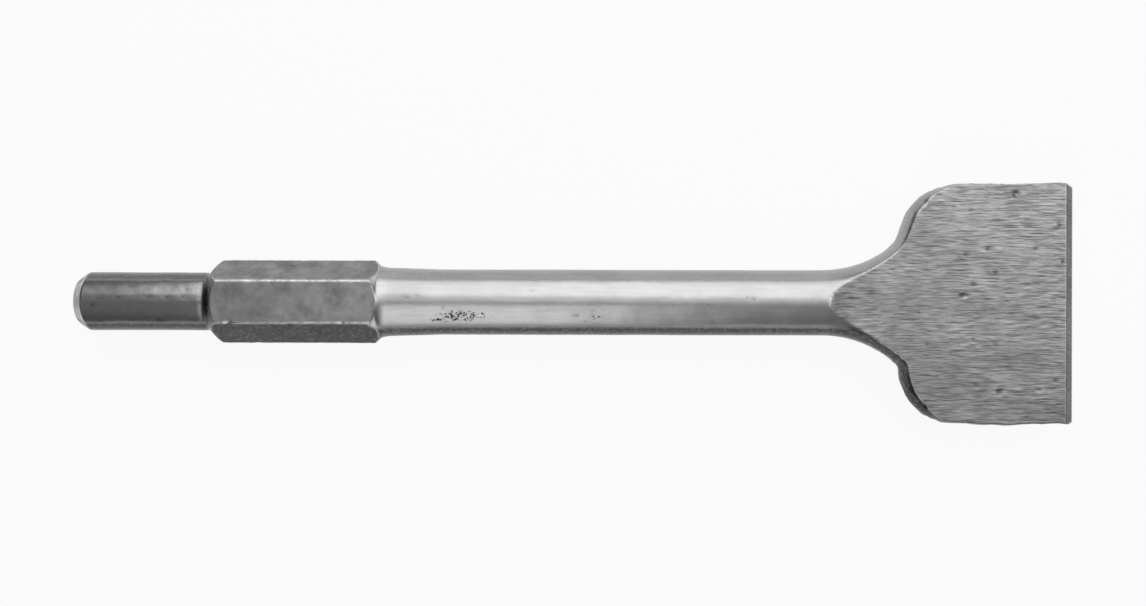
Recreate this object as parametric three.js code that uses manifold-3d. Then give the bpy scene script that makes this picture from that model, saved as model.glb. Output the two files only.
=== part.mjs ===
// A wide flat chisel for a breaking hammer, forged in one piece from hexagonal tool steel bar.
// The hammer's piston strikes the flat end of the round tail, its tool holder grips the hexagon,
// and the drawn-down round stem carries the blow to a spade blade that is ground on both faces.
//
// Millimetres. The origin is the centre of the striking face. +X runs along the axis to the
// cutting edge, +Y across the blade, and +Z square to the blade and to one pair of hexagon flats.

import * as THREE from "three";
import { LoftGeometry } from "three/addons/geometries/LoftGeometry.js";
import { mergeVertices } from "three/addons/utils/BufferGeometryUtils.js";
import Module from "manifold-3d";

// Whole tool
const OVERALL_LENGTH = 410;
const ROUND_SEGMENTS = 72;

// Round tail, with a chamfered striking face
const TAIL_LENGTH = 54;
const TAIL_DIAMETER = 24;
const FACE_CHAMFER_LENGTH = 4.2;
const FACE_CHAMFER_DEPTH = 3;

// Hexagon, with blunted corners that run between two turned cones
const HEX_ACROSS_FLATS = 30;
const HEX_CORNER_BLUNTING = 0.22;
const HEX_CORNER_LENGTH = 63;
const HEX_REAR_CONE_LENGTH = 4.8;
const HEX_FRONT_CONE_ANGLE = 52;

// Round stem, and the slightly thicker neck that blends it into the hexagon's front cone
const STEM_DIAMETER = 27;
const NECK_THICKENING = 0.7;
const NECK_LENGTH = 26;
const NECK_BLEND_RISE = 1;
const NECK_BLEND_LENGTH = 3;

// Blade outline: each side flares out of the stem, turns at the waist and rounds over a shoulder
const BLADE_WIDTH = 100;
const SIDE_LENGTH = 48.7;
const FLARE_RADIUS = 46;
const FLARE_ANGLE = 41;
const WAIST_RADIUS = 5;
const SHOULDER_RADIUS = 23;
const STEEPEST_HEADING = 90;
const CORNER_CUT_LENGTH = 2.5;
const CORNER_CUT_DEPTH = 1.2;

// Rounding of the forged edge, seen in a cut square to the outline
const WAIST_EDGE_RADIUS = 10;
const SHOULDER_EDGE_RADIUS = 7;
const SIDE_EDGE_RADIUS = 18;

// Ground faces: a hollow out of the stem, a long taper, then the bevel of the cutting edge
const GRINDING_RADIUS = 84;
const TAPER_ROOT_THICKNESS = 13.8;
const TAPER_TIP_THICKNESS = 4.8;
const TAPER_LENGTH = 71.7;
const BEVEL_LENGTH = 3.3;
const EDGE_THICKNESS = 0.4;

// Length of round stem that is made with the blade, before the flare and the ground faces begin
const BLADE_RUN_IN = 3;

const stemRadius = STEM_DIAMETER / 2;
const sharpCornerRadius = HEX_ACROSS_FLATS / 2 / Math.cos(Math.PI / 6);
const hexCornerRadius = sharpCornerRadius - HEX_CORNER_BLUNTING;
const hexStart = TAIL_LENGTH + HEX_REAR_CONE_LENGTH;
const hexEnd = hexStart + HEX_CORNER_LENGTH;
const shoulderX = OVERALL_LENGTH - SIDE_LENGTH;
const bevelX = OVERALL_LENGTH - BEVEL_LENGTH;
const cornerX = OVERALL_LENGTH - CORNER_CUT_LENGTH;
const taperRootX = bevelX - TAPER_LENGTH;

const wasm = await Module();
wasm.setup();

function solidOf(geometry) {
  const bare = new THREE.BufferGeometry();
  bare.setAttribute("position", geometry.getAttribute("position"));
  bare.setIndex(geometry.getIndex());
  const merged = mergeVertices(bare);
  const corners = merged.index.array;
  const triVerts = [];
  for (let i = 0; i < corners.length; i += 3) {
    const [a, b, c] = corners.slice(i, i + 3);
    if (a !== b && b !== c && c !== a) triVerts.push(a, b, c);
  }
  return new wasm.Manifold(
    new wasm.Mesh({
      numProp: 3,
      vertProperties: merged.attributes.position.array,
      triVerts: new Uint32Array(triVerts),
    }),
  );
}

function geometryOf(solid) {
  const mesh = solid.getMesh();
  const geometry = new THREE.BufferGeometry();
  geometry.setAttribute("position", new THREE.BufferAttribute(mesh.vertProperties, 3));
  geometry.setIndex(new THREE.BufferAttribute(mesh.triVerts, 1));
  geometry.computeVertexNormals();
  return geometry;
}

// The hollow's centre lies square to the taper at its root, so hollow and taper meet smoothly.
const taperSlope = Math.atan((TAPER_ROOT_THICKNESS - TAPER_TIP_THICKNESS) / 2 / TAPER_LENGTH);
const hollowCentre = new THREE.Vector2(
  taperRootX + GRINDING_RADIUS * Math.sin(taperSlope),
  TAPER_ROOT_THICKNESS / 2 + GRINDING_RADIUS * Math.cos(taperSlope),
);

// Where the hollow comes out of the top of the stem: the tip of the V between stem and ground face.
const hollowDrop = hollowCentre.y - stemRadius;
const groundTipX = hollowCentre.x - Math.sqrt(GRINDING_RADIUS ** 2 - hollowDrop ** 2);

// Half the blade's width at x on its straight sides and at the cut corner of the cutting edge.
function sideHalfWidth(x) {
  const cutShare = Math.max(0, (x - cornerX) / CORNER_CUT_LENGTH);
  return BLADE_WIDTH / 2 - CORNER_CUT_DEPTH * cutShare;
}

// Half the thickness between the two ground faces at x. Behind the tip nothing is ground.
function groundHeight(x) {
  if (x < groundTipX) return Infinity;
  if (x < taperRootX) {
    return hollowCentre.y - Math.sqrt(GRINDING_RADIUS ** 2 - (x - hollowCentre.x) ** 2);
  }
  const { mapLinear } = THREE.MathUtils;
  if (x < bevelX) {
    return mapLinear(x, taperRootX, bevelX, TAPER_ROOT_THICKNESS / 2, TAPER_TIP_THICKNESS / 2);
  }
  return mapLinear(x, bevelX, OVERALL_LENGTH, TAPER_TIP_THICKNESS / 2, EDGE_THICKNESS / 2);
}

// The outline of the +Y side as stations: a point, the outline's heading there, and the radius of
// the rounded edge. The steepest heading follows from the rise between stem and full width. A wide
// blade needs more than square, so a straight stretch makes up what is left of its rise.
function bladeStations() {
  const { degToRad, lerp } = THREE.MathUtils;
  const flareHeading = degToRad(FLARE_ANGLE);
  const rise = BLADE_WIDTH / 2 - stemRadius;
  const flareRise = FLARE_RADIUS * (1 - Math.cos(flareHeading));
  const bendRise = WAIST_RADIUS * Math.cos(flareHeading) + SHOULDER_RADIUS;
  const levelCosine = (flareRise + bendRise - rise) / (WAIST_RADIUS + SHOULDER_RADIUS);
  const steepestCosine = Math.max(Math.cos(degToRad(STEEPEST_HEADING)), levelCosine);
  const steepest = Math.acos(steepestCosine);
  const bentRise = flareRise + bendRise - (WAIST_RADIUS + SHOULDER_RADIUS) * steepestCosine;
  const straightLength = (rise - bentRise) / Math.sin(steepest);
  const flareLength =
    FLARE_RADIUS * Math.sin(flareHeading) +
    WAIST_RADIUS * (Math.sin(steepest) - Math.sin(flareHeading)) +
    straightLength * Math.cos(steepest) +
    SHOULDER_RADIUS * Math.sin(steepest);
  const flareX = shoulderX - flareLength;
  const startX = Math.min(flareX, groundTipX) - BLADE_RUN_IN;

  const stations = [];
  const addStation = (x, y, heading, edgeRadius) => stations.push({ x, y, heading, edgeRadius });
  const last = () => stations[stations.length - 1];

  // An arc from the last station to a new heading. The bend is +1 away from the axis, -1 towards it.
  function addArc(radius, toHeading, edgeRadiusAt, steps) {
    const from = last();
    const bend = Math.sign(toHeading - from.heading);
    for (let step = 1; step <= steps; step++) {
      const heading = lerp(from.heading, toHeading, step / steps);
      addStation(
        from.x + bend * radius * (Math.sin(heading) - Math.sin(from.heading)),
        from.y + bend * radius * (Math.cos(from.heading) - Math.cos(heading)),
        heading,
        edgeRadiusAt(step / steps),
      );
    }
  }

  function addStraight(length, steps) {
    const from = last();
    for (let step = 1; step <= steps; step++) {
      const run = (length * step) / steps;
      addStation(
        from.x + run * Math.cos(from.heading),
        from.y + run * Math.sin(from.heading),
        from.heading,
        from.edgeRadius,
      );
    }
  }

  const flareEdge = (share) => lerp(stemRadius, WAIST_EDGE_RADIUS, share);
  const waistEdge = () => WAIST_EDGE_RADIUS;
  const shoulderEdge = (share) =>
    share < 0.5
      ? lerp(WAIST_EDGE_RADIUS, SHOULDER_EDGE_RADIUS, share * 2)
      : lerp(SHOULDER_EDGE_RADIUS, SIDE_EDGE_RADIUS, share * 2 - 1);

  addStation(startX, stemRadius, 0, stemRadius);
  addStraight(flareX - startX, 2);
  addArc(FLARE_RADIUS, flareHeading, flareEdge, 14);
  addArc(WAIST_RADIUS, steepest, waistEdge, 3);
  if (straightLength > 0.01) addStraight(straightLength, 1);
  addArc(SHOULDER_RADIUS, 0, shoulderEdge, 10);
  const sideStops = [bevelX, cornerX, OVERALL_LENGTH].sort((a, b) => a - b);
  sideStops.forEach((x) => addStation(x, sideHalfWidth(x), 0, SIDE_EDGE_RADIUS));
  return stations;
}

// How far inside the outline the rounded edge meets the ground face, found by halving.
function creaseInset({ x, heading, edgeRadius }) {
  let low = 0;
  let high = edgeRadius;
  for (let step = 0; step < 40; step++) {
    const inset = (low + high) / 2;
    const roundHeight = Math.sqrt(edgeRadius ** 2 - (edgeRadius - inset) ** 2);
    if (roundHeight < groundHeight(x + inset * Math.sin(heading))) low = inset;
    else high = inset;
  }
  return high;
}

// Angles up the rounded edge from its lower crease to its upper one. A loft needs as many points in
// every section, so a thin section repeats some, and its facets are about as long as the stem's.
function edgeAngles(creaseAngle, edgeRadius) {
  const quarter = ROUND_SEGMENTS / 4;
  const facetLength = ((Math.PI / 2) * stemRadius) / quarter;
  const facets = Math.min(quarter, Math.round((creaseAngle * edgeRadius) / facetLength));
  const angles = [];
  for (let step = -quarter; step <= quarter; step++) {
    const side = step < 0 ? -1 : 1;
    const share = facets ? Math.round((Math.abs(step) * facets) / quarter) / facets : 1;
    angles.push(side * share * creaseAngle);
  }
  return angles;
}

// One closed section of the blade: the rounded edge on each side, and straight ground faces between.
function bladeSection(station) {
  const { x, y, heading, edgeRadius } = station;
  const creaseAngle = Math.acos(1 - creaseInset(station) / edgeRadius);
  const edge = edgeAngles(creaseAngle, edgeRadius).map((angle) => {
    const inset = edgeRadius * (1 - Math.cos(angle));
    return new THREE.Vector3(
      x + inset * Math.sin(heading),
      y - inset * Math.cos(heading),
      edgeRadius * Math.sin(angle),
    );
  });
  const otherEdge = edge.map((point) => new THREE.Vector3(point.x, -point.y, point.z)).reverse();
  return [...edge, ...otherEdge];
}

function forgedBlade(stations) {
  const sections = stations.map(bladeSection);
  return solidOf(new LoftGeometry(sections, { capStart: true, capEnd: true }));
}

// Tail, hexagon blank, neck and stem as one turned bar that ends where the blade begins.
function turnedBar(endX) {
  const coneSlope = Math.tan(THREE.MathUtils.degToRad(HEX_FRONT_CONE_ANGLE));
  const neckRadius = stemRadius + NECK_THICKENING;
  const neckX = hexEnd + (hexCornerRadius - neckRadius) / coneSlope;
  const neckEndX = neckX + NECK_LENGTH;
  const blendShare = NECK_BLEND_LENGTH / NECK_LENGTH;
  const profile = new THREE.Path();
  profile.moveTo(0, 0);
  profile.lineTo(0, TAIL_DIAMETER / 2 - FACE_CHAMFER_DEPTH);
  profile.lineTo(FACE_CHAMFER_LENGTH, TAIL_DIAMETER / 2);
  profile.lineTo(TAIL_LENGTH, TAIL_DIAMETER / 2);
  profile.lineTo(hexStart, hexCornerRadius);
  profile.lineTo(hexEnd, hexCornerRadius);
  profile.lineTo(neckX - NECK_BLEND_RISE / coneSlope, neckRadius + NECK_BLEND_RISE);
  profile.quadraticCurveTo(
    neckX,
    neckRadius,
    neckX + NECK_BLEND_LENGTH,
    THREE.MathUtils.lerp(neckRadius, stemRadius, blendShare),
  );
  profile.lineTo(neckEndX, stemRadius);
  profile.lineTo(endX, stemRadius);
  profile.lineTo(endX, 0);
  const radii = profile.getPoints(5).map((point) => new THREE.Vector2(point.y, point.x));
  const lathe = new THREE.LatheGeometry(radii, ROUND_SEGMENTS);
  return solidOf(lathe.rotateZ(-Math.PI / 2));
}

// The drawn hexagonal bar that the shank is turned from, with two flats square to Z. It runs past
// the hexagon at both ends, and only the hexagon's round and its cones are wide enough to meet it.
function hexagonalBar(endX) {
  const overrun = 5;
  const length = endX + 2 * overrun;
  const bar = new THREE.CylinderGeometry(sharpCornerRadius, sharpCornerRadius, length, 6);
  bar.rotateY(Math.PI / 6).rotateZ(-Math.PI / 2);
  return solidOf(bar.translate(endX / 2, 0, 0));
}

const stations = bladeStations();
const bladeStartX = stations[0].x;
const shank = turnedBar(bladeStartX).intersect(hexagonalBar(bladeStartX));
const forging = shank.add(forgedBlade(stations));

const chisel = new THREE.Mesh(
  geometryOf(forging),
  new THREE.MeshStandardMaterial({ color: 0x8b8d8f, roughness: 0.42, metalness: 1 }),
);
chisel.name = "spade_chisel";

const tool = new THREE.Group();
tool.add(chisel);

export default tool;
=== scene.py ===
# %% [markdown]
# A wide flat chisel for an electric breaking hammer. It is one piece of forged tool steel: a round
# tail that the hammer strikes, a hexagon that its holder grips, a round stem and a spade blade that
# is ground on both faces. This lesson draws its skin as one closed surface, then gives each length
# of it the finish that its own step in the workshop left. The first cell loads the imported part.

# %% The frame
import math

import bpy
import numpy as np
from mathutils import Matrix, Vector


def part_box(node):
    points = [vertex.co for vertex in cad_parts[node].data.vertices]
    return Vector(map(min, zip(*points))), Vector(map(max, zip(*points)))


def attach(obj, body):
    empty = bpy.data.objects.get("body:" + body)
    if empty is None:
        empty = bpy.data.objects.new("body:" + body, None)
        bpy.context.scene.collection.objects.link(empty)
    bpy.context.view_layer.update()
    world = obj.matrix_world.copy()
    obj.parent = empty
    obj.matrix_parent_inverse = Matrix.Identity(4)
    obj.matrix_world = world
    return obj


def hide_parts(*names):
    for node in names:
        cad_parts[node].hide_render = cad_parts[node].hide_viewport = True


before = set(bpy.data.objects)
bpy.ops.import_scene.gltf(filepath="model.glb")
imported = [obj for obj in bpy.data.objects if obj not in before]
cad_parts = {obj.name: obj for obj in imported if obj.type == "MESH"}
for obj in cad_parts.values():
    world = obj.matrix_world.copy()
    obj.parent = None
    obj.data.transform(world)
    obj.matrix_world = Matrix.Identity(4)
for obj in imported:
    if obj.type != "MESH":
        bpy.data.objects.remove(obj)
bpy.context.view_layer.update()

NODE = "spade_chisel"
low_corner, high_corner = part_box(NODE)
MM = 0.001
OVERALL_LENGTH = (high_corner.x - low_corner.x) / MM
BLADE_WIDTH = (high_corner.y - low_corner.y) / MM
HEX_ACROSS_FLATS = (high_corner.z - low_corner.z) / MM
print("length, width and thickness in mm:", OVERALL_LENGTH, BLADE_WIDTH, HEX_ACROSS_FLATS)

# %% [markdown]
# Three small helpers do the work of the whole surface. A corner on a worn forging is never sharp,
# so two surfaces meet through a smooth minimum instead of a plain one. Points are set close
# together only where something happens, which keeps the mesh light. Steel that was hot when it was
# shaped is never quite flat, so a gentle random height is added to it.

# %% Helpers for worn and uneven steel
def smooth_minimum(a, b, reach):
    """The lower of a and b. Where they are within reach of each other the corner between them is
    rounded off by a parabola that is a quarter of reach deep."""
    share = np.clip(0.5 + 0.5 * (b - a) / reach, 0, 1)
    return b + (a - b) * share - reach * share * (1 - share)


def smooth_step(low, high, value):
    """0 below low, 1 above high, and between them three times the square less twice the cube."""
    share = np.clip((value - low) / (high - low), 0, 1)
    return share * share * (3 - 2 * share)


def bell(distance, width):
    """1 at no distance, falling as the exponential of minus the square of distance over width."""
    return np.exp(-((distance / width) ** 2))


def places_along(length, knots, fine, coarse, reach):
    """Places from 0 to length, fine apart at each knot and coarse apart away from them. One over
    the wanted gap is added up along the length, and whole steps of that sum give the places."""
    along = np.linspace(0, length, 20001)
    nearest = np.abs(along[:, None] - np.asarray(knots)).min(axis=1)
    gap = coarse - (coarse - fine) * bell(nearest, reach)
    steps = np.concatenate([[0], np.cumsum(np.diff(along) / gap[1:])])
    return np.interp(np.linspace(0, steps[-1], math.ceil(steps[-1]) + 1), steps, along)


def unevenness(x, y, z, wavelength, seed, waves=14):
    """A smooth random height of about one either way: a sum of sine waves of roughly the given
    wavelength, each with its own random direction and phase, over the root of half their number."""
    rng = np.random.default_rng(seed)
    total = 0
    for _ in range(waves):
        way = rng.normal(size=3)
        way *= 2 * np.pi / wavelength * rng.uniform(0.6, 1.5) / np.linalg.norm(way)
        total = total + np.sin(x * way[0] + y * way[1] + z * way[2] + rng.uniform(0, 2 * np.pi))
    return total / np.sqrt(waves / 2)


# %% [markdown]
# The shank is hexagonal bar that was turned in a lathe. A lathe makes a profile spun round the
# axis, so each ring of the surface has the profile's radius, cut down by the smooth minimum to
# where the hexagon's flats are. The rings' points crowd towards the six corners, where the worn
# edges need them, and spread evenly round the stem.

# %% The turned profile
STEM_RADIUS = 13.5
HEX_APOTHEM = HEX_ACROSS_FLATS / 2
HEX_CORNER_RADIUS = HEX_APOTHEM / math.cos(math.pi / 6) - 0.22
HEX_START, HEX_END = 58.8, 121.8
BLADE_START = 303.4
TURNED_PROFILE = np.array([
    (0, 0), (0, 9), (4.2, 12), (52.2, 12), (53.2, 11.8), (54, 12), (HEX_START, HEX_CORNER_RADIUS),
    (HEX_END, HEX_CORNER_RADIUS), (123.7, 15.1), (125, 14.55), (127.5, 14.16), (140, 13.8),
    (150, STEM_RADIUS), (BLADE_START - 0.8, STEM_RADIUS),
])
TURNED_ROUNDING = 0.45

profile_knots = np.concatenate(
    [[0], np.cumsum(np.linalg.norm(np.diff(TURNED_PROFILE, axis=0), axis=1))])
profile_length = profile_knots[-1]


def profile_at(along):
    """The point at that length along the profile, averaged over a short window. The average rounds
    each corner off, and the window closes at both ends so that they stay where they are."""
    window = np.minimum(TURNED_ROUNDING, np.minimum(along, profile_length - along))
    reached = along[:, None] + window[:, None] * np.linspace(-1, 1, 9)
    return [np.interp(reached, profile_knots, TURNED_PROFILE[:, i]).mean(axis=1) for i in (0, 1)]


NICKED_CORNERS = (64.6, 89.5, 110.4)
sharp_places = [*profile_knots[[1, 2, 5, 6, 7, 8]],
                *np.interp(NICKED_CORNERS, TURNED_PROFILE[:, 0], profile_knots)]
FINE_RING_GAP, RING_GAP, CROWDED_REACH = 0.18, 1.32, 1.6
ring_places = places_along(
    profile_length, sharp_places, FINE_RING_GAP, RING_GAP, CROWDED_REACH)[1:]
ring_x, ring_radius = profile_at(ring_places)
print("rings along the shank:", len(ring_x))

# %% The shank
SHANK_COLUMNS = 132
CORNER_CROWDING = 0.72
EDGE_SOFTNESS = 0.22

column_turn = np.arange(SHANK_COLUMNS) / SHANK_COLUMNS * 2 * np.pi
crowding = CORNER_CROWDING * smooth_step(30, 50, ring_x) * smooth_step(150, 128, ring_x)
turn = column_turn - crowding[:, None] / 6 * np.sin(6 * column_turn)
flat_radius = HEX_APOTHEM / np.cos(np.mod(turn, np.pi / 3) - np.pi / 6)
shank_radius = smooth_minimum(ring_radius[:, None], flat_radius, EDGE_SOFTNESS)
shank_x = np.broadcast_to(ring_x[:, None], shank_radius.shape)
shank_y, shank_z = shank_radius * np.cos(turn), shank_radius * np.sin(turn)

# Hammer scale and handling leave the turned bar a few hundredths of a millimetre out of true.
SLOW_WAVE_HEIGHT, QUICK_WAVE_HEIGHT = 0.025, 0.008
on_hexagon = smooth_step(54, 60, shank_x) * smooth_step(124, 119, shank_x)
waviness = SLOW_WAVE_HEIGHT * unevenness(shank_x, shank_y, shank_z, 16, seed=3)
waviness += (QUICK_WAVE_HEIGHT * (1 + on_hexagon)
             * unevenness(shank_x, shank_y, shank_z, 4, seed=4))
fade_in = smooth_step(0, 6, ring_places)[:, None] * smooth_step(302, 290, ring_x)[:, None]
shank_radius = shank_radius + waviness * fade_in

# %% [markdown]
# Use has left marks on the shank: nicks in the corners of the hexagon, specks on its flats and a
# few shallow knocks on the tail and stem. Each is a small bowl pressed into the surface. A mark
# is given by its place along the axis, its turn round it in degrees from the blade's left side
# (90 is the upper face), its half length, half width and depth in millimetres.

# %% Nicks and knocks on the shank
SHANK_MARKS = [
    (9, 97, 1.4, 0.9, 0.18), (12, 85, 0.8, 0.6, 0.14), (19.3, 83, 0.9, 0.6, 0.12),
    (31.7, 81, 1.2, 0.7, 0.16), (39.1, 82, 0.7, 0.6, 0.12), (46.3, 81, 0.9, 0.6, 0.14),
    (24, 60, 1.2, 0.8, 0.08), (35, 128, 1.4, 0.8, 0.10), (47, 66, 1.0, 0.6, 0.10),
    (64.6, 120, 1.5, 0.8, 0.55), (62.4, 119, 0.8, 0.5, 0.25), (81.4, 113, 0.9, 0.8, 0.22),
    (88.6, 16, 0.9, 0.5, 0.18), (86.4, 17, 0.6, 0.4, 0.12), (105.4, 76, 0.8, 0.6, 0.14),
    (107.2, 74, 0.6, 0.5, 0.12), (82, 64, 0.9, 0.5, 0.16), (89.5, 121, 1.2, 0.5, 0.28),
    (93.3, 119.5, 0.7, 0.4, 0.20), (105.5, 120.5, 0.8, 0.4, 0.22), (110.4, 119.5, 0.9, 0.5, 0.26),
    (99, 59.5, 0.8, 0.5, 0.18), (73.5, 60.5, 1.0, 0.5, 0.20), (117.5, 108, 1.0, 0.6, 0.12),
    (107.5, 171, 1.2, 0.7, 0.20), (116.5, 172, 0.8, 0.6, 0.18), (92, 0.5, 1.4, 0.8, 0.25),
    (73, 180, 1.5, 0.9, 0.25), (111, 240, 1.4, 0.8, 0.3), (88, 299.5, 1.2, 0.8, 0.3),
    (80, 266, 1.8, 1.4, 0.12), (104, 276, 1.2, 1.0, 0.12), (136, 83, 1.6, 0.6, 0.12),
    (141, 80, 1.2, 0.6, 0.10), (158, 106, 0.9, 0.6, 0.14), (163, 112, 1.0, 0.7, 0.16),
    (205, 113, 1.2, 0.8, 0.14), (212, 104, 0.9, 0.6, 0.16), (276, 84, 0.8, 0.6, 0.15),
    (261, 127, 1.0, 0.7, 0.14), (187, 70, 0.9, 0.6, 0.08), (232, 96, 0.8, 0.6, 0.08),
    (190, 262, 1.6, 1.0, 0.12), (243, 250, 1.2, 0.9, 0.12), (170, 205, 1.2, 0.8, 0.1),
    (224, 318, 1.1, 0.9, 0.1),
]

shank_dent = np.zeros_like(shank_radius)
for mark_x, mark_turn, half_length, half_width, depth in SHANK_MARKS:
    turned = np.angle(np.exp(1j * (turn - np.radians(mark_turn)))) * ring_radius[:, None]
    away = np.hypot((shank_x - mark_x) / half_length, turned / half_width)
    shank_radius = shank_radius - depth * bell(away, 0.75)
    shank_dent = np.maximum(shank_dent, bell(away, 0.7) * min(1, depth / 0.14))
shank_y, shank_z = shank_radius * np.cos(turn), shank_radius * np.sin(turn)
print("marks on the shank:", len(SHANK_MARKS))

# %% [markdown]
# Handling polishes every edge that stands proud. The wear is worked out here, beside the shape,
# and kept on the mesh as a number from 0 to 1, so that each finish can turn bright where it is 1.
# On the hexagon it is highest where the turned radius and the flats are equally far out.

# %% Wear on the shank
CORNER_LAND_WEAR = 0.085
past_flat = ring_radius[:, None] - flat_radius
land = (shank_x > HEX_START) & (shank_x < HEX_END)
corner_wear = bell(np.where(land, np.maximum(past_flat, 0), past_flat), CORNER_LAND_WEAR)
corner_wear = corner_wear * smooth_step(53, 55, shank_x) * smooth_step(126, 124, shank_x)
corner_wear = corner_wear * smooth_step(14.2, 14.8, ring_radius)[:, None]
tail_wear = bell(ring_places - profile_knots[2], 0.55) + 0.6 * bell(
    ring_places - profile_knots[1], 0.4)
shank_wear = np.clip(corner_wear + 0.8 * tail_wear[:, None], 0, 1)

# %% [markdown]
# The blade starts as the round stem and is forged out wide. Its outline is drawn by its heading:
# straight on, then curving out, turning sharply at the waist, curving back over the shoulder and
# straight again to the cutting edge. Adding up the cosine and sine of the heading gives the line.
# The two sides differ by a millimetre here and there, as they do on anything made under a hammer.

# %% The outline of the blade
FLARE_RADIUS, FLARE_ANGLE = 46, math.radians(41)
WAIST_RADIUS, SHOULDER_RADIUS = 5, 23
SIDE_LENGTH = 48.7
half_width = BLADE_WIDTH / 2
shoulder_x = OVERALL_LENGTH - SIDE_LENGTH

flare_rise = FLARE_RADIUS * (1 - math.cos(FLARE_ANGLE))
bend_rise = WAIST_RADIUS * math.cos(FLARE_ANGLE) + SHOULDER_RADIUS
steepest = math.acos(
    (flare_rise + bend_rise - (half_width - STEM_RADIUS)) / (WAIST_RADIUS + SHOULDER_RADIUS))
flare_x = shoulder_x - (
    FLARE_RADIUS * math.sin(FLARE_ANGLE)
    + WAIST_RADIUS * (math.sin(steepest) - math.sin(FLARE_ANGLE))
    + SHOULDER_RADIUS * math.sin(steepest))
stretch_lengths = [
    flare_x - BLADE_START, FLARE_RADIUS * FLARE_ANGLE, WAIST_RADIUS * (steepest - FLARE_ANGLE),
    SHOULDER_RADIUS * steepest, SIDE_LENGTH,
]
outline_knots = np.concatenate([[0], np.cumsum(stretch_lengths)])
outline_length = outline_knots[-1]
walked = np.linspace(0, outline_length, 40001)
heading_walked = np.interp(walked, outline_knots, [0, 0, FLARE_ANGLE, steepest, 0, 0])
step = walked[1]

# %% Stations along the outline
BEVEL_LENGTH = 3.3
SOFT_WAIST = 6.5
FINE_STATION_GAP, STATION_GAP = 0.32, 0.94
waist_place = outline_knots[2] + stretch_lengths[2] / 2
station_places = places_along(
    outline_length,
    [waist_place, outline_length - BEVEL_LENGTH, outline_length - 1.5, outline_length],
    FINE_STATION_GAP, STATION_GAP, CROWDED_REACH)
shoulder_middle = (outline_knots[3] + outline_knots[4]) / 2
edge_radius = np.interp(
    station_places,
    [*outline_knots[1:4], shoulder_middle, outline_knots[4]], [STEM_RADIUS, 10, 10, 7, 18])
print("stations along the blade:", len(station_places))


def outline_stations(side):
    """x, y and heading at each station of one side. The left side's heading is averaged over a
    window, which makes its waist a gentle bend. What that adds to x and y is taken off evenly."""
    heading = heading_walked
    if side > 0:
        reached = walked[:, None] + SOFT_WAIST * np.linspace(-1, 1, 21)
        heading = np.interp(reached, walked, heading_walked).mean(axis=1)
    x = BLADE_START + np.cumsum(np.cos(heading)) * step - step
    y = STEM_RADIUS + np.cumsum(np.sin(heading)) * step
    x -= (x[-1] - OVERALL_LENGTH) * walked / outline_length
    y -= (y[-1] - half_width) * smooth_step(0, outline_knots[4], walked)
    return [np.interp(station_places, walked, values) for values in (x, y, heading)]


def hand_forged(x, y, side):
    """The outline's half width with one side's own irregularities: a low swelling of the straight
    side, a corner of the cutting edge that is knocked off, and a slow waver."""
    swelling = 0.55 * bell(x - 379, 16) if side < 0 else 0.35 * smooth_step(372, 398, x) - 0.35
    cut_length, cut_depth = (3.3, 1.6) if side > 0 else (1.8, 0.8)
    cut = cut_depth * smooth_step(0, 1, (x - OVERALL_LENGTH + cut_length) / cut_length) ** 0.7
    waver = 0.16 * np.sin(x / 5.3 + side) + 0.09 * np.sin(x / 2.1 - side)
    on_blade = smooth_step(334, 352, x)
    return y + on_blade * (swelling + waver - 0.3) - cut


# %% [markdown]
# Both faces are ground: a hollow out of the stem, a long flat taper, and the short bevel of the
# cutting edge. The forged side of the blade is round, and runs up to the height that grinding
# left. So the height at a point is the smooth minimum of the round and the ground height. Where
# the two are equal lies the crease, and the columns of the mesh follow it along the blade.

# %% The ground height
GRINDING_RADIUS = 84
TAPER_ROOT_HEIGHT, TAPER_TIP_HEIGHT, TAPER_LENGTH = 6.9, 2.4, 71.7
EDGE_HEIGHT = 0.2
bevel_x = OVERALL_LENGTH - BEVEL_LENGTH
taper_root_x = bevel_x - TAPER_LENGTH
taper_slope = math.atan((TAPER_ROOT_HEIGHT - TAPER_TIP_HEIGHT) / TAPER_LENGTH)
hollow_x = taper_root_x + GRINDING_RADIUS * math.sin(taper_slope)
hollow_z = TAPER_ROOT_HEIGHT + GRINDING_RADIUS * math.cos(taper_slope)


def ground_height(x):
    """Half the thickness between the ground faces: a circle's underside up to the taper's root,
    then a straight taper, then through a smooth minimum the steeper line of the bevel."""
    along = np.minimum(x, taper_root_x) - hollow_x
    hollow = hollow_z - np.sqrt(GRINDING_RADIUS**2 - along**2)
    taper = np.interp(x, [taper_root_x, bevel_x], [TAPER_ROOT_HEIGHT, TAPER_TIP_HEIGHT])
    bevel_slope = (TAPER_TIP_HEIGHT - EDGE_HEIGHT) / BEVEL_LENGTH
    bevel = EDGE_HEIGHT + (OVERALL_LENGTH - x) * bevel_slope
    return smooth_minimum(np.where(x < taper_root_x, hollow, taper), bevel, 0.12)


def round_height(inset, radius):
    """How high the round forged edge stands at an inset from the outline: a quarter circle."""
    return np.sqrt(radius**2 - (radius - np.clip(inset, 0, radius)) ** 2)


def crease_inset(x, heading, radius):
    """The inset at which the round reaches the ground height, found by halving forty times."""
    low, high = np.zeros_like(x), radius.copy()
    for _ in range(40):
        middle = (low + high) / 2
        below = round_height(middle, radius) < ground_height(x + middle * np.sin(heading))
        low, high = np.where(below, middle, low), np.where(below, high, middle)
    return high


# %% [markdown]
# Long service has left bowls in the ground faces, where stones have struck them. A struck bowl
# pushes a little metal up at its lip. Each dent is given by its place, its half length along the
# axis, its half width, its turn in degrees and its depth in millimetres.

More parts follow.
